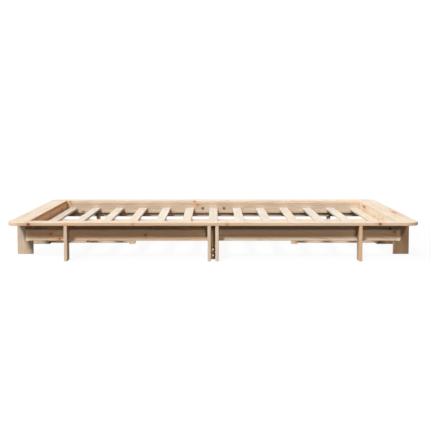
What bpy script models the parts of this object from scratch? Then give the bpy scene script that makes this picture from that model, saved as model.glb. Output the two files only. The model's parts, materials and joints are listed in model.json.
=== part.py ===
"""Low platform bed frame of solid pine boards, for a mattress of 2.00 x 1.40 m.

The bed lies along X, the floor is z = 0 and the origin is on the floor under the bed's middle.
Lengths are in metres. Four rails stand on edge round the mattress, each in two halves that meet at a
web post. A flat rim lies on the rails and overhangs them outwards. Legs are upright planks that stand
across the rails, one under each quarter of the rim and a pair at the middle of every side. Slats lie
on two ledgers and on a centre beam, which stands on posts and low stretchers.
"""

import math

import bmesh
import bpy
from mathutils import Vector

# The mattress, and the room left round it.
MATTRESS_LENGTH = 2.000
MATTRESS_WIDTH = 1.400
MATTRESS_PLAY = 0.005

# Timber.
BOARD = 0.018
PLANK_WIDTH = 0.090
EASED_EDGE = 0.002
FIT_GAP = 0.0003

# Rim.
RIM_TOP = 0.210
RIM_OVERHANG = 0.090
RIM_CORNER_RADIUS = 0.075
RIM_CORNER_STEPS = 10

# Legs and web posts.
LEG_SETBACK = 0.001
LEG_INSET = 0.318
WEB_WIDTH = 0.060
GROOVE_WIDTH = 0.010
GROOVE_OFFSET = 0.007
GROOVE_DEPTH = 0.008

# Slats and what they lie on.
SLAT_COUNT = 13
SLAT_PITCH = 0.160
SLAT_WIDTH = 0.055
SLAT_THICKNESS = 0.014
SLAT_END_ROOM = 0.002
SLAT_TOP = 0.1605
LEDGER_HEIGHT = 0.020

# Supports under the centre beam.
POST_X = 0.500
POST_SIZE = (0.036, 0.060)
STRETCHER_BOTTOM = 0.005
STRETCHER_HEIGHT = 0.066

# Fasteners. The rim of a bolt's head is rounded, and its tip is tapered.
BOLT_SPACING = 0.032
BOLT_RADIUS = 0.0030
BOLT_GRIP = 0.040
BOLT_TIP_RADIUS = 0.0021
BOLT_TIP_LENGTH = 0.0015
BOLT_HEAD_RADIUS = 0.0052
BOLT_HEAD_HEIGHT = 0.0032
BOLT_HEAD_FACE_RADIUS = 0.0037
BOLT_HEAD_SIDE_HEIGHT = 0.0011
BOLT_SOCKET_RADIUS = 0.0022
BOLT_SOCKET_DEPTH = 0.0018
FITTING_BORE_RADIUS = 0.010
FITTING_BORE_DEPTH = 0.0125
FITTING_DISTANCE = 0.0425
BORE_OVERSHOOT = 0.002
ROUND_STEPS = 24
SMOOTH_ANGLE = math.radians(35)

# Colours as linear RGB.
PINE = (0.76, 0.58, 0.38)
PINE_PALE = (0.82, 0.68, 0.50)
ZINC = (0.74, 0.74, 0.72)
PINE_ROUGHNESS = 0.62
ZINC_ROUGHNESS = 0.30

# Worked out from the above.
INNER_X = MATTRESS_LENGTH / 2 + MATTRESS_PLAY
INNER_Y = MATTRESS_WIDTH / 2 + MATTRESS_PLAY
OUTER_X = INNER_X + BOARD
OUTER_Y = INNER_Y + BOARD
RIM_X = OUTER_X + RIM_OVERHANG
RIM_Y = OUTER_Y + RIM_OVERHANG
RIM_UNDERSIDE = RIM_TOP - BOARD
CARCASE_TOP = RIM_UNDERSIDE - FIT_GAP
RAIL_BOTTOM = RIM_UNDERSIDE - PLANK_WIDTH
SLAT_BED = SLAT_TOP - SLAT_THICKNESS
BEAM_BOTTOM = SLAT_BED - BOARD
STRETCHER_TOP = STRETCHER_BOTTOM + STRETCHER_HEIGHT
STRETCHER_MIDDLE = (STRETCHER_BOTTOM + STRETCHER_TOP) / 2
FITTING_BORE_HEIGHT = SLAT_BED + FITTING_BORE_RADIUS
WEB_HALF = WEB_WIDTH / 2

# Each side of the bed: the direction along it, the direction out of it, and the names of its two
# halves, the one towards minus first.
X, Y, Z = Vector((1, 0, 0)), Vector((0, 1, 0)), Vector((0, 0, 1))
SIDES = {
    "front": (X, -Y, ("left", "right")),
    "back": (X, Y, ("left", "right")),
    "left": (Y, -X, ("front", "back")),
    "right": (Y, X, ("front", "back")),
}


def side_reach(side):
    """Half the inner length of a side, and how far its rail's inner face is from the middle."""
    return (INNER_X, INNER_Y) if side in ("front", "back") else (INNER_Y, INNER_X)


def clear_scene():
    for thing in list(bpy.data.objects):
        bpy.data.objects.remove(thing, do_unlink=True)


def finish(piece, colour, roughness=PINE_ROUGHNESS, metallic=0.0):
    material = bpy.data.materials.new(f"{piece.name}_finish")
    material.use_nodes = True
    shader = material.node_tree.nodes["Principled BSDF"]
    shader.inputs["Base Color"].default_value = (*colour, 1.0)
    shader.inputs["Roughness"].default_value = roughness
    shader.inputs["Metallic"].default_value = metallic
    material.diffuse_color = (*colour, 1.0)
    piece.data.materials.append(material)


def add_piece(name, mesh_builder, centre, assembly):
    """A new object from a bmesh, placed by its location under the assembly's empty."""
    mesh = bpy.data.meshes.new(name)
    bmesh.ops.recalc_face_normals(mesh_builder, faces=mesh_builder.faces)
    mesh_builder.to_mesh(mesh)
    mesh_builder.free()
    piece = bpy.data.objects.new(name, mesh)
    bpy.context.collection.objects.link(piece)
    piece.location = centre
    piece.parent = assembly
    return piece


def ease_edges(piece):
    bevel = piece.modifiers.new("eased_edges", "BEVEL")
    bevel.width = EASED_EDGE
    bevel.segments = 1
    bevel.limit_method = "ANGLE"
    bevel.angle_limit = math.radians(40)


def add_board(name, low, high, assembly, colour=PINE):
    """A straight board between two corners, with all its edges eased."""
    low, high = Vector(low), Vector(high)
    shape = bmesh.new()
    bmesh.ops.create_cube(shape, size=1.0)
    bmesh.ops.scale(shape, vec=high - low, verts=shape.verts)
    piece = add_piece(name, shape, (low + high) / 2, assembly)
    ease_edges(piece)
    finish(piece, colour)
    return piece


def add_side_board(name, side, along, outward, heights, assembly, **looks):
    """A board given in its side's terms: a span along the side, a span outwards, and its heights."""
    direction, out, _ = SIDES[side]
    corners = [direction * a + out * o + Z * z for a, o, z in zip(along, outward, heights)]
    low = [min(corner[i] for corner in corners) for i in range(3)]
    high = [max(corner[i] for corner in corners) for i in range(3)]
    return add_board(name, low, high, assembly, **looks)


def cut(piece, cutter):
    boolean = piece.modifiers.new(f"cut_by_{cutter.name}", "BOOLEAN")
    boolean.operation = "DIFFERENCE"
    boolean.solver = "EXACT"
    boolean.object = cutter


def hide_cutter(cutter):
    cutter.hide_render = True
    cutter.display_type = "WIRE"
    return cutter


def add_bore(name, mouth, direction, radius, depth, assembly):
    """A cutter for a round hole. It starts a little outside the mouth and runs along the direction."""
    shape = bmesh.new()
    bmesh.ops.create_cone(shape, cap_ends=True, segments=ROUND_STEPS, radius1=radius, radius2=radius,
                          depth=depth + BORE_OVERSHOOT)
    bmesh.ops.rotate(shape, verts=shape.verts, matrix=Z.rotation_difference(direction).to_matrix())
    middle = Vector(mouth) + Vector(direction) * (depth - BORE_OVERSHOOT) / 2
    return hide_cutter(add_piece(name, shape, middle, assembly))


def rim_corner(start, end):
    """The points of the quarter circle that rounds the rim's corner, from one straight side to the next."""
    centre = Vector((RIM_X - RIM_CORNER_RADIUS, RIM_Y - RIM_CORNER_RADIUS))
    angles = (start + (end - start) * i / RIM_CORNER_STEPS for i in range(RIM_CORNER_STEPS + 1))
    return [(centre.x + RIM_CORNER_RADIUS * math.cos(a), centre.y + RIM_CORNER_RADIUS * math.sin(a))
            for a in angles]


def add_long_rim_board(name, x_sign, y_sign, assembly):
    """Half of a long side of the rim. It runs from the middle of the bed to a rounded corner."""
    middle = FIT_GAP / 2
    outline = [(middle, INNER_Y), (RIM_X, INNER_Y), *rim_corner(0.0, math.pi / 2), (middle, RIM_Y)]
    centre = Vector((x_sign * RIM_X / 2, y_sign * (INNER_Y + RIM_Y) / 2, (RIM_UNDERSIDE + RIM_TOP) / 2))
    shape = bmesh.new()
    bottom = [shape.verts.new((x_sign * x - centre.x, y_sign * y - centre.y, -BOARD / 2)) for x, y in outline]
    face = shape.faces.new(bottom)
    raised = bmesh.ops.extrude_face_region(shape, geom=[face])["geom"]
    bmesh.ops.translate(shape, vec=Z * BOARD, verts=[v for v in raised if isinstance(v, bmesh.types.BMVert)])
    piece = add_piece(name, shape, centre, assembly)
    ease_edges(piece)
    finish(piece, PINE_PALE)
    return piece


def build_rim(assembly):
    for y_sign, side in ((-1, "front"), (1, "back")):
        for x_sign, half in ((-1, "left"), (1, "right")):
            add_long_rim_board(f"rim_{side}_{half}", x_sign, y_sign, assembly)
    for side in ("left", "right"):
        for sign, half in zip((-1, 1), SIDES[side][2]):
            along = (sign * FIT_GAP / 2, sign * (INNER_Y - FIT_GAP))
            add_side_board(f"rim_{side}_{half}", side, along, (INNER_X, RIM_X),
                           (RIM_UNDERSIDE, RIM_TOP), assembly, colour=PINE_PALE)


def build_rails(assembly):
    """Half rails on edge. The end rails run past the long ones, whose ends butt against them.

    Each has a round bore in its inner face, just above the ledger, for the fitting that draws it to the web.
    """
    for side, (direction, out, halves) in SIDES.items():
        reach, face = side_reach(side)
        end = reach - FIT_GAP if side in ("front", "back") else OUTER_Y
        for sign, half in zip((-1, 1), halves):
            rail = add_side_board(f"rail_{side}_{half}", side, (sign * (WEB_HALF + FIT_GAP), sign * end),
                                  (face, face + BOARD), (CARCASE_TOP - PLANK_WIDTH, CARCASE_TOP), assembly)
            mouth = direction * sign * (WEB_HALF + FITTING_DISTANCE) + out * face + Z * FITTING_BORE_HEIGHT
            cut(rail, add_bore(f"fitting_bore_{side}_{half}", mouth, out, FITTING_BORE_RADIUS,
                               FITTING_BORE_DEPTH, assembly))


def bolt_heights():
    return {"upper": STRETCHER_MIDDLE + BOLT_SPACING / 2, "lower": STRETCHER_MIDDLE - BOLT_SPACING / 2}


def build_webs(assembly):
    """Web posts in the plane of the rails, grooved down their outer faces and drilled for two bolts.

    Returns the bolt holes' cutters of each side, because the holes run on into the stretchers."""
    holes = {}
    for side, (direction, out, _) in SIDES.items():
        face = side_reach(side)[1]
        web = add_side_board(f"web_{side}", side, (-WEB_HALF, WEB_HALF), (face, face + BOARD),
                             (0.0, CARCASE_TOP), assembly)
        groove = hide_cutter(add_side_board(
            f"groove_cutter_{side}", side,
            (GROOVE_OFFSET - GROOVE_WIDTH / 2, GROOVE_OFFSET + GROOVE_WIDTH / 2),
            (face + BOARD - GROOVE_DEPTH, face + 2 * BOARD), (RAIL_BOTTOM, RIM_TOP), assembly))
        groove.modifiers.clear()
        cut(web, groove)
        holes[side] = [
            add_bore(f"bolt_hole_{side}_{place}", out * (face + BOARD) + Z * height, -out,
                     BOLT_RADIUS + FIT_GAP, BOARD + BOLT_GRIP + FIT_GAP, assembly)
            for place, height in bolt_heights().items()
        ]
        for hole in holes[side]:
            cut(web, hole)
    return holes


def build_legs(assembly):
    """Upright planks from the floor to the rim, with their width across the rail."""
    for side, (_, _, halves) in SIDES.items():
        reach, face = side_reach(side)
        outward = (face + BOARD + FIT_GAP, face + BOARD + RIM_OVERHANG - LEG_SETBACK)
        single = reach + BOARD + RIM_OVERHANG - LEG_INSET
        for sign, half in zip((-1, 1), halves):
            spans = {f"leg_{side}_{half}": (single - BOARD / 2, single + BOARD / 2),
                     f"leg_{side}_centre_{half}": (WEB_HALF - BOARD, WEB_HALF)}
            for name, (near, far) in spans.items():
                add_side_board(name, side, (sign * near, sign * far), outward, (0.0, CARCASE_TOP), assembly)


def build_slat_bed(assembly):
    for side in ("front", "back"):
        add_side_board(f"ledger_{side}", side, (FIT_GAP - INNER_X, INNER_X - FIT_GAP),
                       (INNER_Y - FIT_GAP - BOARD, INNER_Y - FIT_GAP),
                       (SLAT_BED - LEDGER_HEIGHT, SLAT_BED), assembly)
    add_board("centre_beam", (FIT_GAP - INNER_X, -PLANK_WIDTH / 2, BEAM_BOTTOM),
              (INNER_X - FIT_GAP, PLANK_WIDTH / 2, SLAT_BED), assembly)
    for number in range(SLAT_COUNT):
        x = (number - (SLAT_COUNT - 1) / 2) * SLAT_PITCH
        add_board(f"slat_{number + 1:02d}",
                  (x - SLAT_WIDTH / 2, SLAT_END_ROOM - INNER_Y, SLAT_BED + FIT_GAP),
                  (x + SLAT_WIDTH / 2, INNER_Y - SLAT_END_ROOM, SLAT_TOP), assembly, colour=PINE_PALE)


def add_post(name, x, bottom, assembly):
    half_x, half_y = POST_SIZE[0] / 2, POST_SIZE[1] / 2
    add_board(name, (x - half_x, -half_y, bottom), (x + half_x, half_y, BEAM_BOTTOM - FIT_GAP), assembly)


def build_base(assembly, holes):
    """Posts under the centre beam, end stretchers that hold them, and the stretcher across the bed."""
    add_post("post_left", -POST_X, 0.0, assembly)
    add_post("post_right", POST_X, 0.0, assembly)
    add_post("post_centre", 0.0, STRETCHER_TOP + FIT_GAP, assembly)
    heights = (STRETCHER_BOTTOM, STRETCHER_TOP)
    inner_end = POST_X + POST_SIZE[0] / 2 + FIT_GAP
    for side in ("left", "right"):
        stretcher = add_side_board(f"stretcher_{side}", side, (-BOARD / 2, BOARD / 2),
                                   (inner_end, INNER_X - FIT_GAP), heights, assembly)
        for hole in holes[side]:
            cut(stretcher, hole)
    cross = add_board("stretcher_cross", (-BOARD / 2, FIT_GAP - INNER_Y, heights[0]),
                      (BOARD / 2, INNER_Y - FIT_GAP, heights[1]), assembly)
    for hole in holes["front"] + holes["back"]:
        cut(cross, hole)


def add_bolt(name, seat, direction, assembly):
    """A socket-head bolt. Its head sits on the seat and its shank runs along the direction."""
    shape = bmesh.new()
    length = BOARD + BOLT_GRIP
    profile = [(BOLT_HEAD_FACE_RADIUS, -BOLT_HEAD_HEIGHT), (BOLT_HEAD_RADIUS, -BOLT_HEAD_SIDE_HEIGHT),
               (BOLT_HEAD_RADIUS, -FIT_GAP), (BOLT_RADIUS, -FIT_GAP),
               (BOLT_RADIUS, length - BOLT_TIP_LENGTH), (BOLT_TIP_RADIUS, length)]
    rings = []
    for radius, height in profile:
        turns = (2 * math.pi * i / ROUND_STEPS for i in range(ROUND_STEPS))
        rings.append([shape.verts.new((radius * math.cos(t), radius * math.sin(t), height)) for t in turns])
    for first, second in zip(rings, rings[1:]):
        for i in range(ROUND_STEPS):
            j = (i + 1) % ROUND_STEPS
            shape.faces.new((first[i], first[j], second[j], second[i]))
    shape.faces.new(rings[0])
    shape.faces.new(rings[-1])
    turn = Z.rotation_difference(direction).to_matrix()
    bmesh.ops.rotate(shape, verts=shape.verts, matrix=turn)
    bolt = add_piece(name, shape, seat, assembly)
    bolt.data.shade_smooth()
    bolt.data.set_sharp_from_angle(angle=SMOOTH_ANGLE)
    finish(bolt, ZINC, ZINC_ROUGHNESS, metallic=1.0)

    socket = bmesh.new()
    bmesh.ops.create_cone(socket, cap_ends=True, segments=6, radius1=BOLT_SOCKET_RADIUS,
                          radius2=BOLT_SOCKET_RADIUS, depth=2 * BOLT_SOCKET_DEPTH)
    bmesh.ops.rotate(socket, verts=socket.verts, matrix=turn)
    face = Vector(seat) - Vector(direction) * BOLT_HEAD_HEIGHT
    cut(bolt, hide_cutter(add_piece(f"{name}_socket", socket, face, assembly)))


def build_bolts(assembly):
    """The two bolts through the front web into the cross stretcher."""
    out = SIDES["front"][1]
    for place, height in bolt_heights().items():
        add_bolt(f"web_bolt_{place}", out * OUTER_Y + Z * height, -out, assembly)


def main():
    clear_scene()
    bed = bpy.data.objects.new("bed_frame", None)
    bpy.context.collection.objects.link(bed)
    build_rim(bed)
    build_rails(bed)
    holes = build_webs(bed)
    build_legs(bed)
    build_slat_bed(bed)
    build_base(bed, holes)
    build_bolts(bed)


main()
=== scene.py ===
"""Looks of the pine bed frame: every board as a finely eased plank of solid pine, and its steel fittings."""

import json
import math
import random

import bmesh
import bpy
from mathutils import Matrix, Vector


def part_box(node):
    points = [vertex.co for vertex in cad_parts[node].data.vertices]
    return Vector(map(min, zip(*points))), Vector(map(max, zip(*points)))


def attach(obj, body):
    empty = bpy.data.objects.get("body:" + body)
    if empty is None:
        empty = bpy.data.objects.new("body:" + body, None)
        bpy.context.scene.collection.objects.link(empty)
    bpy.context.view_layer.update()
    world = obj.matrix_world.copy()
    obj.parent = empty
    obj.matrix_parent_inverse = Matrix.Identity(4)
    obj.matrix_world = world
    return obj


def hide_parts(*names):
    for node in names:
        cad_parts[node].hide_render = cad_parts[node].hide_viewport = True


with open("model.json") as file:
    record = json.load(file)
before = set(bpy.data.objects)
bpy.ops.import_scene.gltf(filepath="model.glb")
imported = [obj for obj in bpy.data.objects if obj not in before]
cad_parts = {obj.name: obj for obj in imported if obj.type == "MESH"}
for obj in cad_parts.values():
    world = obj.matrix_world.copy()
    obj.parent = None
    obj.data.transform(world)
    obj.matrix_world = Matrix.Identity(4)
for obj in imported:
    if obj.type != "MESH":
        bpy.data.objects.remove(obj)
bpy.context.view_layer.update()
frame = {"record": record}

BODY = "root"
SLOT_OF = {part["node"]: part["material_slot"] for part in frame["record"]["subparts"]}
AXES = (Vector((1, 0, 0)), Vector((0, 1, 0)), Vector((0, 0, 1)))

# Edges, in metres.
EASED_EDGE = 0.0022
END_EDGE = 0.0007
EDGE_STEPS = 4
END_EDGE_STEPS = 2
SMOOTH_ANGLE = math.radians(50)
RIM_CORNER_RADIUS = 0.075
RIM_CORNER_STEPS = 24

# Boards that meet end to end are drawn this much longer there, so that the joint is closed.
SEAM_CLOSING = 0.00014

# How far the pith of the log lies from a board, and how far a board's figure is shifted along its log.
PITH_NEAR, PITH_FAR = 0.018, 0.075
LOG_SPAN = 40.0

# How many knots a board can have on its faces and on its edges, and the attributes that hold them.
FACE_KNOTS, EDGE_KNOTS = 3, 2
KNOT_ATTRIBUTES = [
    *(f"face_knot_{i}" for i in range(FACE_KNOTS)), *(f"edge_knot_{i}" for i in range(EDGE_KNOTS))]

# A knot is a little longer along the grain than across it. One with a radius past the second of these is a
# spike knot, cut lengthwise, and is far longer.
SPIKE_RADII = (0.0085, 0.0100)
ROUND_SQUEEZE, SPIKE_SQUEEZE = 0.78, 0.13

# How deep the relief of a surface is, in metres.
WOOD_RELIEF = 0.00028
STEEL_RELIEF = 0.00004

# Inside this many radii a knot is all knot, and outside the first of them there is none of it. Its halo
# fades with the square of the distance, and it pushes the rings aside by this many radii.
KNOT_EDGE = (1.12, 0.86)
HALO_FADING = 0.13
KNOT_PUSH = 1.5
SMALLEST_KNOT = 0.0005

# The wood's figure: how many waves a metre each part of it has along the grain, across it and through it.
FIGURE_WAVES = {
    "drift": (2.3, 9.0, 9.0),
    "ripple": (16.0, 45.0, 45.0),
    "fibre": (26.0, 1300.0, 1300.0),
    "strand": (5.0, 210.0, 210.0),
    "streak": (1.1, 34.0, 34.0),
    "blotch": (3.0, 11.0, 11.0),
    "resin": (40.0, 800.0, 800.0),
}
# How far the rings stray from a circle, slowly and quickly, and how much the log tapers.
DRIFT, RIPPLE, TAPER = 0.011, 0.0012, 0.006
# What its parts do to the wood's brightness.
BLOTCH_SHADE, STRAND_SHADE, FIBRE_SHADE = 0.13, 0.09, 0.06

# Tints that the wood's colour is multiplied by, and the colours of knots.
HEART_TINT = (0.90, 0.74, 0.56)
WARM_TINT = (1.0, 0.68, 0.45)
COOL_TINT = (1.0, 1.08, 1.22)
RESIN_TINT = (0.62, 0.42, 0.24)
HALO_TINT = (0.86, 0.62, 0.38)
ARRIS_TINT = (1.05, 1.02, 0.98)
DARK_KNOT_TINT = (0.34, 0.16, 0.10)
KNOT_PALE, KNOT_DEEP = (0.50, 0.205, 0.060), (0.30, 0.105, 0.032)
BARK = (0.028, 0.014, 0.008)
WOOD_SHINE = 0.2

# How far a cutter reaches past the face that it cuts, and what counts as level and as square to the grain.
CUT_MARGIN = 0.010
LEVEL = 1e-6
SQUARE = 0.99


# ---------------------------------------------------------------------------------------------------------
# Shader nodes
# ---------------------------------------------------------------------------------------------------------

class Graph:
    """Adds shader nodes to a material and links them. An input is a number, a tuple or another output."""

    def __init__(self, material):
        material.use_nodes = True
        self.tree = material.node_tree
        self.tree.nodes.clear()

    def feed(self, socket, value):
        if isinstance(value, bpy.types.NodeSocket):
            self.tree.links.new(value, socket)
        else:
            socket.default_value = value

    def node(self, kind, inputs=None, **settings):
        made = self.tree.nodes.new(f"ShaderNode{kind}")
        for name, value in settings.items():
            setattr(made, name, value)
        for name, value in (inputs or {}).items():
            self.feed(made.inputs[name], value)
        return made

    def math(self, operation, *values):
        made = self.node("Math", operation=operation)
        for socket, value in zip(made.inputs, values):
            self.feed(socket, value)
        return made.outputs[0]

    def total(self, values):
        result = values[0]
        for value in values[1:]:
            result = self.math("ADD", result, value)
        return result

    def highest(self, values):
        result = values[0]
        for value in values[1:]:
            result = self.math("MAXIMUM", result, value)
        return result

    def length(self, x, y):
        return self.math("SQRT", self.math("ADD", self.math("MULTIPLY", x, x), self.math("MULTIPLY", y, y)))

    def attribute(self, name):
        return self.node("Attribute", attribute_name=name).outputs["Vector"]

    def split(self, vector):
        return self.node("SeparateXYZ", {"Vector": vector}).outputs[:3]

    def combine(self, x, y, z):
        return self.node("CombineXYZ", {"X": x, "Y": y, "Z": z}).outputs[0]

    def scaled(self, vector, scale):
        made = self.node("VectorMath", operation="MULTIPLY")
        self.feed(made.inputs[0], vector)
        made.inputs[1].default_value = scale
        return made.outputs[0]

    def noise(self, vector, detail=2.0, roughness=0.5):
        return self.node("TexNoise", {
            "Vector": vector, "Scale": 1.0, "Detail": detail, "Roughness": roughness})

    def smooth(self, value, low, high):
        """0 below low and 1 above high, or the other way round where low is the larger."""
        made = self.node("MapRange", {"Value": value}, interpolation_type="SMOOTHSTEP")
        self.feed(made.inputs["From Min"], low)
        self.feed(made.inputs["From Max"], high)
        return made.outputs[0]

    def span(self, value, low, high):
        """A value that runs from 0 to 1, stretched to run from low to high."""
        return self.math("MULTIPLY_ADD", value, high - low, low)

    def mix(self, share, first, second, blend="MIX"):
        made = self.node("Mix", data_type="RGBA", blend_type=blend)
        self.feed(made.inputs[0], share)
        for socket, value in ((made.inputs[6], first), (made.inputs[7], second)):
            self.feed(socket, (*value, 1.0) if isinstance(value, tuple) else value)
        return made.outputs[2]

    def join(self, kind, first, second, share=None):
        """Two shaders as one. With a share, the first is shown where it is 0 and the second where it is 1."""
        made = self.node(kind, None if share is None else {"Fac": share})
        for socket, shader in zip(made.inputs[-2:], (first, second)):
            self.feed(socket, shader)
        return made.outputs[0]

    def end(self, output, shader):
        self.feed(self.node(output).inputs["Surface"], shader)

    def finish(self, colour, roughness, height, relief, metallic=0.0):
        """A surface of this colour, roughness and relief, ready to be shown."""
        bump = self.node("Bump", {"Height": height, "Distance": relief, "Strength": 1.0})
        shader = self.node("BsdfPrincipled", {
            "Base Color": colour, "Roughness": roughness, "Normal": bump.outputs[0], "Metallic": metallic})
        self.end("OutputMaterial", shader.outputs[0])
        return shader


def knot_fields(g, along, across, through):
    """For every knot: how far each point is inside it, how near it is, how much it pushes the rings aside,
    and whether it is a dark one. A knot attribute holds its place along the board, its place across or
    through it, and its radius, which is negative for a dark knot."""
    fields = []
    for name in KNOT_ATTRIBUTES:
        place, offset, radius = g.split(g.attribute(name))
        size = g.math("ADD", g.math("ABSOLUTE", radius), 1e-5)
        other = across if name.startswith("face") else through
        squeeze = g.span(g.smooth(size, *SPIKE_RADII), ROUND_SQUEEZE, SPIKE_SQUEEZE)
        run = g.math("MULTIPLY", g.math("SUBTRACT", along, place), squeeze)
        aside = g.math("SUBTRACT", other, offset)
        distance = g.length(run, aside)
        reach = g.math("DIVIDE", distance, size)
        present = g.math("GREATER_THAN", size, SMALLEST_KNOT)
        core = g.math("MULTIPLY", g.smooth(reach, *KNOT_EDGE), present)
        fall = g.math("EXPONENT", g.math("MULTIPLY", g.math("MULTIPLY", reach, reach), -HALO_FADING))
        halo = g.math("MULTIPLY", fall, present)
        push = g.math("MULTIPLY", halo, g.math("MULTIPLY", size, KNOT_PUSH))
        dark = g.math("MULTIPLY", core, g.math("LESS_THAN", radius, 0.0))
        fields.append((core, halo, push, dark, reach))
    return fields


def make_pine(name, pale, deep, edge_tint, end_tint, ring=0.0036, contrast=0.5):
    """Solid pine. The figure is worked out in the board's own space, where x runs along the grain and the
    pith of the log lies at y = z = 0, so that faces, edges and end grain show one and the same rings."""
    material = bpy.data.materials.new(name)
    g = Graph(material)
    grain = g.attribute("grain")
    brightness, warmth, edge_share = g.split(g.attribute("tone_and_painted_light"))
    end_grain, edge_face, arris = g.split(g.attribute("face_kind"))
    # Edge shares past 1 warm the narrow edges: painted warm shade, used on the rim's left end.
    edge_warmth = g.math("MULTIPLY", edge_face, g.math("MAXIMUM", g.math("SUBTRACT", edge_share, 1.0), 0.0))
    warm = g.math("MULTIPLY", g.math("ADD", g.math("MAXIMUM", warmth, 0.0), edge_warmth),
                  g.math("SUBTRACT", 1.0, end_grain))
    cool = g.math("MAXIMUM", g.math("MULTIPLY", warmth, -1.0), 0.0)

    def figure(part, **settings):
        return g.noise(g.scaled(grain, FIGURE_WAVES[part]), **settings).outputs

    # The rings wander along the board.
    drift_x, drift_y, _ = g.split(figure("drift")["Color"])
    ripple_x, ripple_y, _ = g.split(figure("ripple")["Color"])
    along, across, through = g.split(grain)
    knot_jitter = g.math("MULTIPLY", g.math("SUBTRACT", ripple_x, 0.5), 0.0030)
    knots = knot_fields(
        g, g.math("ADD", along, knot_jitter), g.math("SUBTRACT", across, knot_jitter), through)
    y = g.total([across, g.span(drift_x, -DRIFT, DRIFT), g.span(ripple_x, -RIPPLE, RIPPLE)])
    z = g.total([through, g.span(drift_y, -DRIFT, DRIFT), g.span(ripple_y, -RIPPLE, RIPPLE)])
    pushes = [push for _, _, push, _, _ in knots]
    radius = g.total([g.length(y, z), g.math("MULTIPLY", along, TAPER), *pushes])

    # Growth rings: pale early wood that deepens to a thin line of late wood.
    uneven = g.noise(g.combine(g.math("MULTIPLY", radius, 90.0), 0.0, 0.0), detail=1.0).outputs[0]
    turn = g.math("ADD", g.math("DIVIDE", radius, ring), g.math("MULTIPLY", uneven, 1.6))
    phase = g.math("FRACT", turn)
    ring_share = g.node("TexWhiteNoise", {"W": g.math("FLOOR", turn)}, noise_dimensions="1D").outputs["Value"]
    late = g.math("MULTIPLY", g.smooth(phase, 0.30, 0.88), g.smooth(phase, 1.0, 0.93))
    late = g.math("MULTIPLY", late, g.span(ring_share, 0.45, 1.0))

    # Fibres, streaks and blotches, all long along the grain.
    fibre = figure("fibre", roughness=0.6)[0]
    strand = figure("strand", detail=3.0, roughness=0.6)[0]
    streak = figure("streak")[0]
    blotch = figure("blotch", detail=3.0, roughness=0.6)[0]

    colour = g.mix(g.math("MULTIPLY", late, contrast), pale, deep)
    heart = g.math("MULTIPLY", g.smooth(streak, 0.50, 0.80), 0.45)
    colour = g.mix(heart, colour, HEART_TINT, "MULTIPLY")
    # The brightness in this shade value is each board's own tone, and on some boards painted light and
    # painted shade.
    shade = g.total([
        g.span(blotch, -BLOTCH_SHADE, BLOTCH_SHADE), g.span(strand, -STRAND_SHADE, STRAND_SHADE),
        g.span(fibre, -FIBRE_SHADE, FIBRE_SHADE), brightness])
    colour = g.node("HueSaturation", {"Color": colour, "Value": shade}).outputs[0]
    # Warmth is each board's own tone, and painted warm shade on the left end's rails and web.
    colour = g.mix(warm, colour, WARM_TINT, "MULTIPLY")
    colour = g.mix(cool, colour, COOL_TINT, "MULTIPLY")

    # Resin canals are short, thin and a little darker.
    resin = g.math("MULTIPLY", g.smooth(figure("resin", detail=0.0)[0], 0.71, 0.78), 0.30)
    colour = g.mix(resin, colour, RESIN_TINT, "MULTIPLY")

    # Knots: a halo of darker, orange wood, the knot's own tight rings, and a bark line round a dark one.
    halo = g.highest([field[1] for field in knots])
    colour = g.mix(g.math("MULTIPLY", halo, 0.55), colour, HALO_TINT, "MULTIPLY")
    for core, _, _, dark, reach in knots:
        own_rings = g.math("SINE", g.math("MULTIPLY", g.math("ADD", reach, ripple_y), 19.0))
        heartwood = g.mix(g.span(own_rings, 0.35, 0.55), KNOT_PALE, KNOT_DEEP)
        colour = g.mix(g.math("MULTIPLY", core, 0.92), colour, heartwood)
        bark = g.math("MULTIPLY", dark, g.smooth(reach, 0.25, 0.85))
        colour = g.mix(g.math("MULTIPLY", dark, 0.50), colour, DARK_KNOT_TINT, "MULTIPLY")
        colour = g.mix(g.math("MULTIPLY", bark, 0.55), colour, BARK)
    core = g.highest([field[0] for field in knots])

    # Narrow edges and end grain are darker or paler than the faces, and an arris is sanded bright. How deep
    # the edges are is painted shade on the rim's left end and painted light on its right end.
    colour = g.mix(g.math("MULTIPLY", edge_face, edge_share), colour, edge_tint, "MULTIPLY")
    colour = g.mix(end_grain, colour, end_tint, "MULTIPLY")
    colour = g.mix(g.math("MULTIPLY", arris, 0.5), colour, ARRIS_TINT, "MULTIPLY")

    roughness = g.total([
        0.60, g.span(fibre, -0.07, 0.07), g.math("MULTIPLY", late, -0.10),
        g.math("MULTIPLY", core, -0.16), g.math("MULTIPLY", end_grain, 0.12)])
    height = g.total([
        g.math("MULTIPLY", fibre, 0.45), g.math("MULTIPLY", strand, 0.25), g.math("MULTIPLY", late, 0.35),
        g.math("MULTIPLY", core, 0.5), g.math("MULTIPLY", resin, -1.0)])
    shader = g.finish(colour, roughness, height, WOOD_RELIEF)
    shader.inputs["Specular IOR Level"].default_value = WOOD_SHINE
    return material


def make_steel(name, colour, roughness):
    """Plated steel with a faint turned grain, dull patches and fine scratches."""
    material = bpy.data.materials.new(name)
    g = Graph(material)
    place = g.node("TexCoord").outputs["Object"]
    patch = g.noise(g.scaled(place, (260.0, 260.0, 260.0)), detail=3.0).outputs[0]
    scratch = g.noise(g.scaled(place, (4200.0, 500.0, 4200.0)), detail=2.0).outputs[0]
    tint = g.mix(patch, tuple(c * 0.78 for c in colour), colour)
    wear = g.total([roughness, g.span(patch, -0.12, 0.12), g.span(scratch, -0.06, 0.06)])
    g.finish(tint, wear, scratch, STEEL_RELIEF, metallic=1.0)
    return material


# ---------------------------------------------------------------------------------------------------------
# Boards
# ---------------------------------------------------------------------------------------------------------

def board_axes(node, size):
    """Which world axes run along a board's grain, across it and through it."""
    order = sorted(range(3), key=lambda axis: -size[axis])
    if node.startswith("post"):
        order = [2] + [axis for axis in order if axis != 2]
    return order


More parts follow.
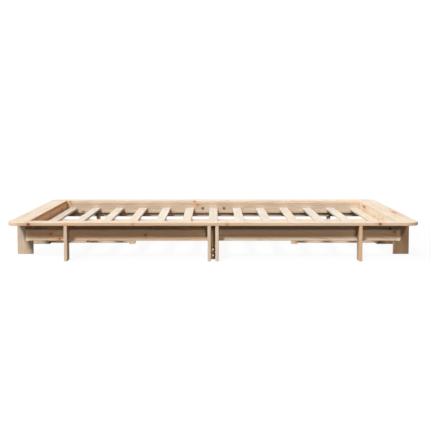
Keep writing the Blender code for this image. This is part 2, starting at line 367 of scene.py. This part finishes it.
def prism(outline, thickness, eased):
    """A board from its outline in the plane of its face. eased says which outline edges have an arris."""
    shape = bmesh.new()
    bottom = [shape.verts.new((x, y, -thickness / 2)) for x, y in outline]
    base = shape.faces.new(bottom)
    raised = bmesh.ops.extrude_face_region(shape, geom=[base])["geom"]
    top = [part for part in raised if isinstance(part, bmesh.types.BMVert)]
    bmesh.ops.translate(shape, vec=(0, 0, thickness), verts=top)
    bmesh.ops.recalc_face_normals(shape, faces=shape.faces)
    shape.edges.ensure_lookup_table()
    eased_spans = {frozenset((outline[i], outline[(i + 1) % len(outline)])) for i in eased}

    def on_outline(vert):
        return min(outline, key=lambda point: (point[0] - vert.co.x) ** 2 + (point[1] - vert.co.y) ** 2)

    chosen = [
        edge for edge in shape.edges
        if abs(edge.verts[0].co.z - edge.verts[1].co.z) < LEVEL
        and frozenset(map(on_outline, edge.verts)) in eased_spans
    ]
    bmesh.ops.bevel(shape, geom=chosen, offset=EASED_EDGE, segments=EDGE_STEPS, profile=0.5, affect="EDGES")
    return shape


def ease_ends(shape):
    """A small arris round both end-grain faces."""
    shape.normal_update()
    chosen = [
        edge for edge in shape.edges
        if len(edge.link_faces) == 2
        and sum(abs(face.normal.x) > SQUARE for face in edge.link_faces) == 1
    ]
    bmesh.ops.bevel(shape, geom=chosen, offset=END_EDGE, segments=END_EDGE_STEPS, profile=0.5, affect="EDGES")


def rectangle(x, y):
    """The corners of a rectangle round the origin, from its half length and half width."""
    return [(-x, -y), (x, -y), (x, y), (-x, y)]


def plain_board(size):
    """A straight board: long edges well eased, ends just broken."""
    length, width, thickness = size
    shape = prism(rectangle(length / 2, width / 2), thickness, eased=(0, 2))
    ease_ends(shape)
    return shape


def rim_end_board(size):
    """Half of an end of the rim. Both its ends meet other boards, so only its long edges are eased."""
    length, width, thickness = size
    return prism(rectangle(length / 2 + SEAM_CLOSING, width / 2), thickness, eased=(0, 2))


def rim_side_board(size, end_sign, out_sign):
    """Half of a long side of the rim, with a rounded corner. An end board meets it next to that corner."""
    length, width, thickness = size
    inner, outer, y = -length / 2 - SEAM_CLOSING, length / 2, width / 2
    turns = [math.pi / 2 * i / RIM_CORNER_STEPS for i in range(RIM_CORNER_STEPS + 1)]
    corner = [(outer - RIM_CORNER_RADIUS * (1 - math.cos(t)), y - RIM_CORNER_RADIUS * (1 - math.sin(t)))
              for t in turns]
    outline = [(inner, -y), (outer - RIM_WIDTH, -y), (outer, -y), *corner, (inner, y)]
    sharp = (1, len(outline) - 1)
    outline = [(x * end_sign, y * out_sign) for x, y in outline]
    return prism(outline, thickness, eased=[i for i in range(len(outline)) if i not in sharp])


def cut_mesh(shape, cutters):
    """The shape as a mesh, with the cutters, which are bmeshes, taken out of it."""
    mesh = bpy.data.meshes.new("work")
    shape.to_mesh(mesh)
    shape.free()
    if not cutters:
        return mesh
    work = bpy.data.objects.new("work", mesh)
    bpy.context.scene.collection.objects.link(work)
    helpers = [work]
    for cutter in cutters:
        helper_mesh = bpy.data.meshes.new("cutter")
        cutter.to_mesh(helper_mesh)
        cutter.free()
        helper = bpy.data.objects.new("cutter", helper_mesh)
        bpy.context.scene.collection.objects.link(helper)
        boolean = work.modifiers.new("cut", "BOOLEAN")
        boolean.operation, boolean.solver, boolean.object = "DIFFERENCE", "EXACT", helper
        helpers.append(helper)
    bpy.context.view_layer.update()
    depsgraph = bpy.context.evaluated_depsgraph_get()
    result = bpy.data.meshes.new_from_object(work.evaluated_get(depsgraph), depsgraph=depsgraph)
    for helper in helpers:
        data = helper.data
        bpy.data.objects.remove(helper)
        bpy.data.meshes.remove(data)
    return result


def cylinder(radius, low, high, centre, direction, steps=40):
    """A round cutter or plug that runs along the direction from low to high past the centre."""
    shape = bmesh.new()
    bmesh.ops.create_cone(shape, cap_ends=True, segments=steps, radius1=radius, radius2=radius,
                          depth=high - low)
    turn = AXES[2].rotation_difference(direction).to_matrix().to_4x4()
    move = Matrix.Translation(Vector(centre) + Vector(direction) * (low + high) / 2)
    bmesh.ops.transform(shape, verts=shape.verts, matrix=move @ turn)
    return shape


def block(low, high):
    """A cutter with square corners."""
    shape = bmesh.new()
    bmesh.ops.create_cube(shape, size=1.0)
    bmesh.ops.scale(shape, vec=Vector(high) - Vector(low), verts=shape.verts)
    bmesh.ops.translate(shape, vec=(Vector(low) + Vector(high)) / 2, verts=shape.verts)
    return shape


def write_vectors(mesh, name, domain, values):
    """A vector attribute with one value for every corner or face of a mesh."""
    layer = mesh.attributes.new(name, "FLOAT_VECTOR", domain)
    layer.data.foreach_set("vector", [part for value in values for part in value])


def write_figure(mesh, strips, knots):
    """Gives a board's mesh, still in its own space, the attributes that its wood is worked out from.

    strips lists the glued strips from low to high, each as (upper limit across, log offset, tone and painted
    light)."""
    def strip_of(polygon):
        return next(strip for strip in strips if polygon.center.y <= strip[0] or strip is strips[-1])

    grain, tone_and_painted_light, kinds = [], [], []
    knot_values = {name: [] for name in KNOT_ATTRIBUTES}
    for polygon in mesh.polygons:
        _, offset, strip_tone_and_painted_light = strip_of(polygon)
        end, edge, face = (part * part for part in polygon.normal)
        kinds.append((end, edge, 1.0 - max(end, edge, face)))
        tone_and_painted_light.append(strip_tone_and_painted_light)
        for name in KNOT_ATTRIBUTES:
            place, other, radius = knots.get(name, (0.0, 0.0, 0.0))
            if name in knots:
                place, other = place + offset.x, other + (offset.y if name.startswith("face") else offset.z)
            knot_values[name].append((place, other, radius))
        grain += [mesh.vertices[mesh.loops[loop].vertex_index].co + offset for loop in polygon.loop_indices]
    write_vectors(mesh, "grain", "CORNER", grain)
    write_vectors(mesh, "tone_and_painted_light", "FACE", tone_and_painted_light)
    write_vectors(mesh, "face_kind", "FACE", kinds)
    for name, values in knot_values.items():
        write_vectors(mesh, name, "FACE", values)


def add_piece(name, mesh, material, node=None):
    """A shown piece in the row frame, riding on the frame's one body."""
    mesh.materials.clear()
    mesh.materials.append(material)
    mesh.shade_smooth()
    mesh.set_sharp_from_angle(angle=SMOOTH_ANGLE)
    piece = bpy.data.objects.new(name, mesh)
    bpy.context.scene.collection.objects.link(piece)
    weighted = piece.modifiers.new("flat_faces_stay_flat", "WEIGHTED_NORMAL")
    weighted.keep_sharp = True
    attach(piece, BODY)
    if node:
        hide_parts(node)
    return piece


def knot(x, y, z, radius, edge=False):
    """A knot at a place in the row frame. A negative radius is a dark knot. An edge knot runs across its
    board and shows on the narrow edge, and any other runs through it and shows on the faces."""
    return Vector((x, y, z)), radius, edge


KNOTS = {
    "rim_front_left": [
        knot(-0.993, -0.813, 0.201, -0.0068, edge=True), knot(-0.431, -0.813, 0.202, 0.0035, edge=True)],
    "rim_front_right": [
        knot(0.075, -0.813, 0.199, 0.0040, edge=True), knot(0.898, -0.813, 0.202, -0.0064, edge=True)],
    "rim_back_left": [
        knot(-0.130, 0.705, 0.203, 0.0055, edge=True), knot(-0.980, 0.705, 0.202, 0.0050, edge=True)],
    "rim_right_back": [knot(1.098, 0.060, 0.210, 0.0080), knot(1.030, 0.330, 0.210, 0.0060)],
    "rim_right_front": [knot(1.079, -0.197, 0.210, 0.0100), knot(1.045, -0.420, 0.210, 0.0060)],
    "rail_front_left": [
        knot(-0.369, 0, 0.133, -0.0045), knot(-0.838, 0, 0.111, 0.0065), knot(-0.886, 0, 0.139, 0.0050)],
    "rail_front_right": [knot(0.967, 0, 0.168, -0.0060), knot(0.990, 0, 0.150, 0.0070)],
    # The dark mark near this rail's left end is painted shade: the dark inside of a small fastener hole,
    # drawn as a dark knot.
    "rail_back_left": [knot(-0.110, 0, 0.181, 0.0060), knot(-0.973, 0, 0.187, -0.0028)],
    "rail_right_back": [knot(0, 0.520, 0.184, 0.0100), knot(0, 0.050, 0.163, -0.0045)],
    "rail_right_front": [knot(0, -0.100, 0.181, 0.0060), knot(0, -0.241, 0.177, 0.0075)],
    "rail_left_front": [knot(0, -0.200, 0.176, -0.0040)],
    "ledger_back": [knot(-0.889, 0, 0.136, -0.0050)],
    "stretcher_left": [knot(-0.775, 0, 0.016, -0.0060)],
}
CLEAR_BOARDS = (
    "rail_back_right", "web_front", "web_back", "web_left", "stretcher_right",
    "leg_front_left", "leg_front_centre_left", "leg_front_centre_right",
    "leg_left_front", "leg_left_centre_front", "leg_left_centre_back")

# Other boards draw their knots at random: how many metres of board there are to a knot, the knot's size,
# the width of board below which knots get smaller, and how far along and across from the middle they lie,
# as shares of the board.
KNOT_SPACING = {"rim_pine": 1.3, "rail_pine": 0.9, "leg_pine": 0.45, "slat_pine": 2.4, "support_pine": 0.8}
KNOT_RADII = (0.003, 0.008)
KNOT_FULL_WIDTH = 0.06
KNOT_REACH_ALONG, KNOT_REACH_ACROSS = 0.46, 0.4


def board_knots(node, draw, centre, axes, size):
    """The knots of a board in its own space, by attribute name."""
    along, across, through = axes
    found = []
    if node in KNOTS or node in CLEAR_BOARDS:
        for place, radius, edge in KNOTS.get(node, ()):
            local = place - centre
            found.append((edge, (local[along], local[through if edge else across], radius)))
    else:
        count = int(size[0] / KNOT_SPACING[SLOT_OF[node]] + draw.random())
        for _ in range(min(count, FACE_KNOTS)):
            radius = draw.uniform(*KNOT_RADII) * min(1.0, size[1] / KNOT_FULL_WIDTH) * draw.choice((1, 1, -1))
            place = draw.uniform(-KNOT_REACH_ALONG, KNOT_REACH_ALONG) * size[0]
            aside = draw.uniform(-KNOT_REACH_ACROSS, KNOT_REACH_ACROSS) * size[1]
            found.append((False, (place, aside, radius)))
    knots, used = {}, {True: 0, False: 0}
    for edge, value in found:
        kind = "edge_knot" if edge else "face_knot"
        knots[f"{kind}_{used[edge]}"] = value
        used[edge] += 1
    return knots


# The tone of a board's wood, or of each of its glued strips: brightness, warmth, and how much deeper its
# narrow edges are. What that last number has beyond 1 makes the edges warmer too. Some entries are painted
# light and shade instead of the wood's tone, as marked below. The rest are random.
TONES_AND_PAINTED_LIGHT = {
    "rim_front_left": [(1.0, 0.0, 0.7), (0.985, 0.05, 0.7)],
    "rim_front_right": [(1.01, -0.05, 0.7), (1.0, 0.05, 0.7)],
    "rim_back_left": [(0.98, -0.15, 0.5), (0.99, -0.1, 0.5)],
    "rim_back_right": [(0.99, -0.1, 0.5), (0.975, -0.15, 0.5)],
    # Deeper, warmer narrow edges on the rim's left end: painted warm shade on its inner edge, which faces
    # away from the light.
    "rim_left_front": [(1.0, 0.05, 1.7), (1.01, -0.05, 1.7)],
    "rim_left_back": [(1.0, 0.0, 1.7), (1.0, 0.05, 1.7)],
    # Hardly deeper narrow edges on the rim's right end: painted light on its inner edge, which faces the
    # light.
    "rim_right_front": [(1.02, 0.0, 0.05), (1.0, 0.05, 0.05)],
    "rim_right_back": [(1.0, 0.05, 0.05), (1.03, 0.0, 0.05)],
    "rail_front_left": [(1.03, 0.22, 1.0)],
    "rail_front_right": [(1.08, -0.30, 1.0)],
    # The back rails are drawn a third darker than the other rails.
    "rail_back_left": [(0.665, -0.12, 1.0)],
    "rail_back_right": [(0.66, -0.1, 1.0)],
    # Warm rails at the left end: painted warm shade on their inner faces, which face away from the light.
    "rail_left_front": [(1.04, 0.85, 1.0)],
    "rail_left_back": [(1.02, 0.80, 1.0)],
    # Bright, pale rails at the right end: painted light on their inner faces, which face the light.
    "rail_right_front": [(1.10, -0.10, 1.0)],
    "rail_right_back": [(1.10, -0.05, 1.0)],
    "web_front": [(0.84, 0.0, 1.0)],
    # A darker back web: painted shade.
    "web_back": [(0.70, 0.0, 1.0)],
    # The end webs match their rails: painted warm shade on the left, painted light on the right.
    "web_left": [(0.82, 0.65, 1.0)],
    "web_right": [(1.15, 0.25, 1.0)],
    "leg_front_left": [(0.86, 0.0, 1.0)],
    "leg_front_right": [(0.82, 0.50, 1.0)],
    "leg_front_centre_left": [(0.88, -0.25, 1.0)],
    "leg_front_centre_right": [(0.89, -0.20, 1.0)],
    "leg_left_centre_front": [(0.84, 0.18, 1.0)],
    "leg_left_front": [(0.77, 0.0, 1.0), (0.74, 0.20, 1.0)],
    # Darker and warmer: painted shade on this leg's front face under the rim.
    "leg_right_centre_front": [(0.84, 0.55, 1.0)],
    "leg_right_front": [(1.05, 0.22, 1.0), (1.07, 0.18, 1.0)],
    # A darker back ledger: painted shade over the light that falls on it between the slats.
    "ledger_back": [(0.78, 0.0, 1.0)],
    # A brighter first slat: painted light over the shadow that the left rim casts on it.
    "slat_01": [(1.13, 0.05, 1.0)],
}
RANDOM_BRIGHTNESS = (0.955, 1.035)
RANDOM_WARMTH = (-0.25, 0.2)

# How far a glue line lies from a board's middle at most, as a share of its width, and which way the pith
# lies, as a share of half a turn.
GLUE_LINE_REACH = 0.12
PITH_TURNS = (0.25, 0.75)


def board_strips(node, draw, size):
    """The glued strips of a board: one for each of its listed tones and painted light, or else two on the rim
    and one elsewhere.
    """
    count = 2 if node.startswith("rim") else 1
    tones_and_painted_light = TONES_AND_PAINTED_LIGHT.get(node) or [
        (draw.uniform(*RANDOM_BRIGHTNESS), draw.uniform(*RANDOM_WARMTH), 1.0) for _ in range(count)]
    limits = [draw.uniform(-GLUE_LINE_REACH, GLUE_LINE_REACH) * size[1] for _ in tones_and_painted_light[1:]] + [size[1]]
    strips = []
    for limit, tone_and_painted_light in zip(limits, tones_and_painted_light):
        angle = draw.uniform(*PITH_TURNS) * math.pi * draw.choice((1, -1))
        reach = draw.uniform(PITH_NEAR, PITH_FAR)
        offset = Vector((draw.uniform(0, LOG_SPAN), reach * math.cos(angle), reach * math.sin(angle)))
        strips.append((limit, offset, tone_and_painted_light))
    return strips


def build_board(node, material, shape_maker=None, cutters=()):
    """Replaces a CAD board by a finished one of the same size. shape_maker gets the size in the board's own
    axes, and cutters are bmeshes in the row frame."""
    low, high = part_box(node)
    centre = (low + high) / 2
    extent = high - low
    axes = board_axes(node, extent)
    size = [extent[axis] for axis in axes]
    draw = random.Random(node)
    shape = (shape_maker or plain_board)(size)
    strips = board_strips(node, draw, size)
    for limit, _, _ in strips[:-1]:
        bmesh.ops.bisect_plane(shape, geom=shape.verts[:] + shape.edges[:] + shape.faces[:],
                               plane_co=(0, limit, 0), plane_no=(0, 1, 0))
    basis = Matrix([AXES[axis] for axis in axes]).transposed().to_4x4()
    to_world = Matrix.Translation(centre) @ basis
    to_board = to_world.inverted()
    for cutter in cutters:
        bmesh.ops.transform(cutter, matrix=to_board, verts=cutter.verts)
        if to_board.determinant() < 0:
            bmesh.ops.reverse_faces(cutter, faces=cutter.faces)
    mesh = cut_mesh(shape, list(cutters))
    write_figure(mesh, strips, board_knots(node, draw, centre, axes, size))
    mesh.transform(to_world)
    if to_world.determinant() < 0:
        mesh.flip_normals()
    return add_piece(f"{node}_wood", mesh, material, node)


# ---------------------------------------------------------------------------------------------------------
# The bed
# ---------------------------------------------------------------------------------------------------------

PINES = {
    "rim_pine": make_pine(
        "pine_rim", pale=(0.755, 0.68, 0.58), deep=(0.64, 0.475, 0.31),
        edge_tint=(0.78, 0.60, 0.44), end_tint=(0.86, 0.76, 0.64)),
    "rail_pine": make_pine(
        "pine_rail", pale=(0.76, 0.635, 0.50), deep=(0.61, 0.43, 0.275),
        edge_tint=(0.95, 0.92, 0.88), end_tint=(1.06, 1.12, 1.18), ring=0.0042, contrast=0.68),
    "leg_pine": make_pine(
        "pine_leg", pale=(0.77, 0.65, 0.515), deep=(0.62, 0.45, 0.29),
        edge_tint=(1.0, 0.98, 0.96), end_tint=(0.86, 0.78, 0.68)),
    "slat_pine": make_pine(
        "pine_slat", pale=(0.755, 0.71, 0.635), deep=(0.66, 0.54, 0.40),
        edge_tint=(0.94, 0.88, 0.80), end_tint=(0.86, 0.78, 0.68), contrast=0.4),
    "support_pine": make_pine(
        "pine_support", pale=(0.74, 0.62, 0.485), deep=(0.60, 0.43, 0.27),
        edge_tint=(0.97, 0.94, 0.90), end_tint=(0.86, 0.78, 0.68), ring=0.0045, contrast=0.62),
}
STEEL = make_steel("zinc_plated_steel", (0.94, 0.93, 0.91), 0.17)
DULL_STEEL = make_steel("dull_steel", (0.62, 0.57, 0.50), 0.50)
# The bore fittings' steel is near black: painted shade for the dark inside of the bores.
BORE_SHADE_STEEL = make_steel("steel_darkened_as_bore_shade", (0.20, 0.18, 0.16), 0.50)

# Where the rails' inner faces are, and what the boards measure.
INNER_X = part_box("rail_right_front")[0].x
INNER_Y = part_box("rail_back_left")[0].y
RAIL_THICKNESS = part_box("rail_back_left")[1].y - INNER_Y
RIM_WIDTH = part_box("rim_front_left")[1].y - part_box("rim_front_left")[0].y
RAIL_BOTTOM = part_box("rail_front_left")[0].z

# Each side of the bed: the direction along it, the direction out of it, how far its rail's inner face is
# from the middle, and the names of its two halves, the one towards minus first.
SIDES = {
    "front": (AXES[0], -AXES[1], INNER_Y, ("left", "right")),
    "back": (AXES[0], AXES[1], INNER_Y, ("left", "right")),
    "left": (AXES[1], -AXES[0], INNER_X, ("front", "back")),
    "right": (AXES[1], AXES[0], INNER_X, ("front", "back")),
}

# The webs' grooves and the rails' bores, as the solids have them.
GROOVE_WIDTH, GROOVE_OFFSET, GROOVE_DEPTH = 0.010, 0.007, 0.008
BORE_RADIUS, BORE_DEPTH, BORE_MARGIN = 0.010, 0.0125, 0.002
BORE_FROM_MIDDLE = 0.0725
BORE_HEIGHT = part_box("ledger_front")[1].z + BORE_RADIUS

# The web bolts. The part of the shank that is drawn is short, because it is hidden in the wood.
BOLT_BOXES = [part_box(f"web_bolt_{place}") for place in ("lower", "upper")]
BOLT_HEIGHTS = [(low.z + high.z) / 2 for low, high in BOLT_BOXES]
BOLT_HEAD_RADIUS, BOLT_HEAD_HEIGHT = 0.0052, 0.0032
BOLT_HEAD_EDGE, BOLT_HEAD_EDGE_STEPS = 0.0016, 6
BOLT_SEAT_EDGE = 0.0003
BOLT_SHANK_RADIUS, BOLT_SHANK_SHOWN = 0.0029, 0.012
BOLT_SOCKET_RADIUS, BOLT_SOCKET_BOTTOM = 0.0017, 0.0012

# The round fittings at the bottom of the bores, a little off the bottom.
FITTING_RADIUS, FITTING_FACE_RADIUS = 0.0090, 0.0084
FITTING_CLEARANCE = 0.0002
FITTING_SIDE_HEIGHT, FITTING_HEIGHT = 0.0062, 0.0070
FITTING_SOCKET_RADIUS, FITTING_SOCKET_BOTTOM = 0.0024, 0.0040

# The slats' screws: the profile of the countersunk head from the shank up, its cross slot, how far a screw
# is from the slat's end, and how much each one is turned from the last.
SCREW_PROFILE = ((0.0016, -0.006), (0.0016, -0.0026), (0.0037, -0.0002), (0.0035, 0.0002))
SCREW_SLOT_HALF_LENGTH, SCREW_SLOT_HALF_WIDTH, SCREW_SLOT_DEPTH = 0.0023, 0.0004, 0.0012
SCREW_INSET = 0.011
SCREW_TURN = 1.3

BOLT_STEPS, SCREW_STEPS, HEXAGON = 48, 28, 6


def build_rim():
    for side, out_sign in (("front", -1), ("back", 1)):
        for half, end_sign in (("left", -1), ("right", 1)):
            node = f"rim_{side}_{half}"
            build_board(node, PINES["rim_pine"],
                        lambda size, e=end_sign, o=out_sign: rim_side_board(size, e, o))
    for side in ("left", "right"):
        for half in ("front", "back"):
            build_board(f"rim_{side}_{half}", PINES["rim_pine"], rim_end_board)


def build_rails():
    for side, (direction, out, face, halves) in SIDES.items():
        for sign, half in zip((-1, 1), halves):
            mouth = direction * sign * BORE_FROM_MIDDLE + out * face + AXES[2] * BORE_HEIGHT
            bore = cylinder(BORE_RADIUS, -BORE_MARGIN, BORE_DEPTH, mouth, out)
            build_board(f"rail_{side}_{half}", PINES["rail_pine"], cutters=[bore])
            build_bore_fitting(f"bore_fitting_{side}_{half}", mouth, out)


def build_webs():
    for side, (direction, out, face, _) in SIDES.items():
        front = face + RAIL_THICKNESS
        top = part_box(f"web_{side}")[1].z + CUT_MARGIN
        near, far = GROOVE_OFFSET - GROOVE_WIDTH / 2, GROOVE_OFFSET + GROOVE_WIDTH / 2
        corners = [
            direction * near + out * (front - GROOVE_DEPTH) + AXES[2] * RAIL_BOTTOM,
            direction * far + out * (front + CUT_MARGIN) + AXES[2] * top,
        ]
        low, high = (Vector(map(pick, *corners)) for pick in (min, max))
        build_board(f"web_{side}", PINES["leg_pine"], cutters=[block(low, high)])
        for place, height in zip(("lower", "upper"), BOLT_HEIGHTS):
            node = f"web_bolt_{place}" if side == "front" else None
            build_bolt(f"bolt_{side}_{place}", out * front + AXES[2] * height, out, node)


def turned(profile, steps):
    """A solid of revolution about Z from (radius, height) points, first to last, closed by flat ends."""
    shape = bmesh.new()
    rings = []
    for radius, height in profile:
        turns = (2 * math.pi * i / steps for i in range(steps))
        rings.append([shape.verts.new((radius * math.cos(t), radius * math.sin(t), height)) for t in turns])
    for first, second in zip(rings, rings[1:]):
        for i in range(steps):
            j = (i + 1) % steps
            shape.faces.new((first[i], first[j], second[j], second[i]))
    shape.faces.new(rings[0])
    shape.faces.new(rings[-1])
    bmesh.ops.recalc_face_normals(shape, faces=shape.faces)
    return shape


def aim(mesh, place, direction):
    """Moves a mesh that was made at the origin, facing up, to its place and direction."""
    turn = AXES[2].rotation_difference(direction).to_matrix().to_4x4()
    mesh.transform(Matrix.Translation(place) @ turn)


def build_bolt(name, seat, out, node):
    """A flat round-edged bolt with a hexagon socket."""
    turns = [math.pi / 2 * i / BOLT_HEAD_EDGE_STEPS for i in range(BOLT_HEAD_EDGE_STEPS + 1)]
    crown = [(BOLT_HEAD_RADIUS - BOLT_HEAD_EDGE * (1 - math.cos(t)),
              BOLT_HEAD_HEIGHT - BOLT_HEAD_EDGE * (1 - math.sin(t))) for t in turns]
    shank = [(BOLT_SHANK_RADIUS, -BOLT_SHANK_SHOWN), (BOLT_SHANK_RADIUS, 0.0)]
    seat_edge = [(BOLT_HEAD_RADIUS - BOLT_SEAT_EDGE, 0.0), (BOLT_HEAD_RADIUS, BOLT_SEAT_EDGE)]
    shape = turned([*shank, *seat_edge, *crown], BOLT_STEPS)
    socket = cylinder(BOLT_SOCKET_RADIUS, BOLT_SOCKET_BOTTOM, CUT_MARGIN, (0, 0, 0), AXES[2], steps=HEXAGON)
    mesh = cut_mesh(shape, [socket])
    aim(mesh, seat, out)
    add_piece(name, mesh, STEEL, node)


def build_bore_fitting(name, mouth, out):
    """A round fitting at the bottom of a bore, in near-black steel that is painted shade for the bore's dark
    inside. mouth is the bore's middle at the rail's face.
    """
    floor = FITTING_CLEARANCE - BORE_DEPTH
    shape = turned([(FITTING_RADIUS, floor), (FITTING_RADIUS, floor + FITTING_SIDE_HEIGHT),
                    (FITTING_FACE_RADIUS, floor + FITTING_HEIGHT)], BOLT_STEPS)
    socket = cylinder(FITTING_SOCKET_RADIUS, floor + FITTING_SOCKET_BOTTOM, CUT_MARGIN, (0, 0, 0), AXES[2],
                      steps=HEXAGON)
    mesh = cut_mesh(shape, [socket])
    aim(mesh, mouth, -out)
    add_piece(name, mesh, BORE_SHADE_STEEL, None)


def build_screws():
    """A countersunk screw at each end of every slat, and one over the centre beam, as three rows."""
    slats = sorted(node for node in SLOT_OF if node.startswith("slat_"))
    long, thin, deep = SCREW_SLOT_HALF_LENGTH, SCREW_SLOT_HALF_WIDTH, -SCREW_SLOT_DEPTH
    for row, position in (("front", -1), ("middle", 0), ("back", 1)):
        whole = bmesh.new()
        for number, node in enumerate(slats):
            low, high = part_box(node)
            mesh = cut_mesh(turned(SCREW_PROFILE, SCREW_STEPS), [
                block((-long, -thin, deep), (long, thin, CUT_MARGIN)),
                block((-thin, -long, deep), (thin, long, CUT_MARGIN))])
            mesh.transform(Matrix.Rotation(SCREW_TURN * number, 4, "Z"))
            y = position * ((high.y - low.y) / 2 - SCREW_INSET)
            mesh.transform(Matrix.Translation(((low.x + high.x) / 2, y, high.z)))
            whole.from_mesh(mesh)
            bpy.data.meshes.remove(mesh)
        joined = bpy.data.meshes.new("screws")
        whole.to_mesh(joined)
        whole.free()
        add_piece(f"slat_screws_{row}", joined, DULL_STEEL, None)


def build_other_boards():
    done = ("rim_", "rail_", "web_")
    for node in SLOT_OF:
        if not node.startswith(done):
            build_board(node, PINES[SLOT_OF[node]])


# ---------------------------------------------------------------------------------------------------------
# Studio
# ---------------------------------------------------------------------------------------------------------

WHITE = (1.0, 1.0, 1.0)

# The camera, in metres from the bed's middle on the floor.
CAMERA_PLACE = (0.0083, -6.251, 0.7527)
CAMERA_DOWN, CAMERA_RIGHT = math.radians(5.269), math.radians(0.020)
LENS_MM, SENSOR_MM = 85.24, 36.0

# The floor lies just under the feet.
FLOOR_REACH, FLOOR_DROP = 40.0, 0.0002
FLOOR_PAINT, FLOOR_BOUNCE, FLOOR_GLOW = (0.07, 0.07, 0.07), (0.04, 0.035, 0.03), 0.93

# The world's colour and strength: as a light, in a mirror, and behind the bed.
WORLD_LIGHT = ((1.0, 0.78, 0.60), 0.05)
WORLD_MIRRORED = (WHITE, 0.70)
WORLD_BACKDROP = (WHITE, 1.0)


def add_camera():
    data = bpy.data.cameras.new("camera")
    data.lens, data.sensor_width = LENS_MM, SENSOR_MM
    camera = bpy.data.objects.new("camera", data)
    camera.location = CAMERA_PLACE
    camera.rotation_euler = (math.pi / 2 - CAMERA_DOWN, 0.0, -CAMERA_RIGHT)
    bpy.context.scene.collection.objects.link(camera)
    bpy.context.scene.camera = camera


def add_sun(name, azimuth, elevation, strength, softness, colour, mirrored=True):
    """A distant soft light. Azimuth is measured to the left of the front, and all angles are in degrees."""
    data = bpy.data.lights.new(name, "SUN")
    data.energy, data.angle, data.color = strength, math.radians(softness), colour
    light = bpy.data.objects.new(name, data)
    a, e = math.radians(azimuth), math.radians(elevation)
    towards = Vector((-math.sin(a) * math.cos(e), -math.cos(a) * math.cos(e), math.sin(e)))
    light.rotation_mode = "QUATERNION"
    light.rotation_quaternion = towards.to_track_quat("Z", "Y")
    light.visible_glossy = mirrored
    bpy.context.scene.collection.objects.link(light)


def add_floor():
    """A plain pale floor: white to look at, with faint shadows, and a duller bounce than white paper."""
    mesh = bpy.data.meshes.new("floor")
    corners = [(x, y, -FLOOR_DROP) for x, y in rectangle(FLOOR_REACH, FLOOR_REACH)]
    mesh.from_pydata(corners, [], [range(len(corners))])
    floor = bpy.data.objects.new("floor", mesh)
    bpy.context.scene.collection.objects.link(floor)
    material = bpy.data.materials.new("pale_floor")
    g = Graph(material)
    paint = g.node("BsdfDiffuse", {"Color": (*FLOOR_PAINT, 1.0)}).outputs[0]
    glow = g.node("Emission", {"Color": (1.0, 1.0, 1.0, 1.0), "Strength": FLOOR_GLOW}).outputs[0]
    both = g.join("AddShader", paint, glow)
    bounce = g.node("BsdfDiffuse", {"Color": (*FLOOR_BOUNCE, 1.0)}).outputs[0]
    path = g.node("LightPath")
    seen = g.math("MAXIMUM", path.outputs["Is Camera Ray"], path.outputs["Is Glossy Ray"])
    g.end("OutputMaterial", g.join("MixShader", bounce, both, share=seen))
    mesh.materials.append(material)


def add_world():
    """White to look at, a paler grey to mirror, and a dim warm light everywhere else."""
    world = bpy.data.worlds.new("studio")
    g = Graph(world)
    dim, mirrored, backdrop = (
        g.node("Background", {"Color": (*colour, 1.0), "Strength": strength}).outputs[0]
        for colour, strength in (WORLD_LIGHT, WORLD_MIRRORED, WORLD_BACKDROP))
    path = g.node("LightPath")
    light = g.join("MixShader", dim, mirrored, share=path.outputs["Is Glossy Ray"])
    g.end("OutputWorld", g.join("MixShader", light, backdrop, share=path.outputs["Is Camera Ray"]))
    bpy.context.scene.world = world
    bpy.context.scene.view_settings.view_transform = "Standard"


add_camera()
build_rim()
build_rails()
build_webs()
build_other_boards()
build_screws()
add_sun("front_softbox", azimuth=20, elevation=39, strength=2.95, softness=9, colour=(1.0, 0.985, 0.96))
add_sun("left_softbox", azimuth=78, elevation=32, strength=2.20, softness=26, colour=(1.0, 0.99, 0.97))
add_sun("low_reflector", azimuth=-8, elevation=19, strength=0.60, softness=4, colour=(1.0, 0.73, 0.54))
add_sun("right_reflector", azimuth=-90, elevation=20, strength=0.48, softness=30, colour=(1.0, 0.76, 0.58))
add_sun("back_softbox", azimuth=180, elevation=14, strength=1.20, softness=20, colour=(1.0, 0.98, 0.95),
        mirrored=False)
add_floor()
add_world()
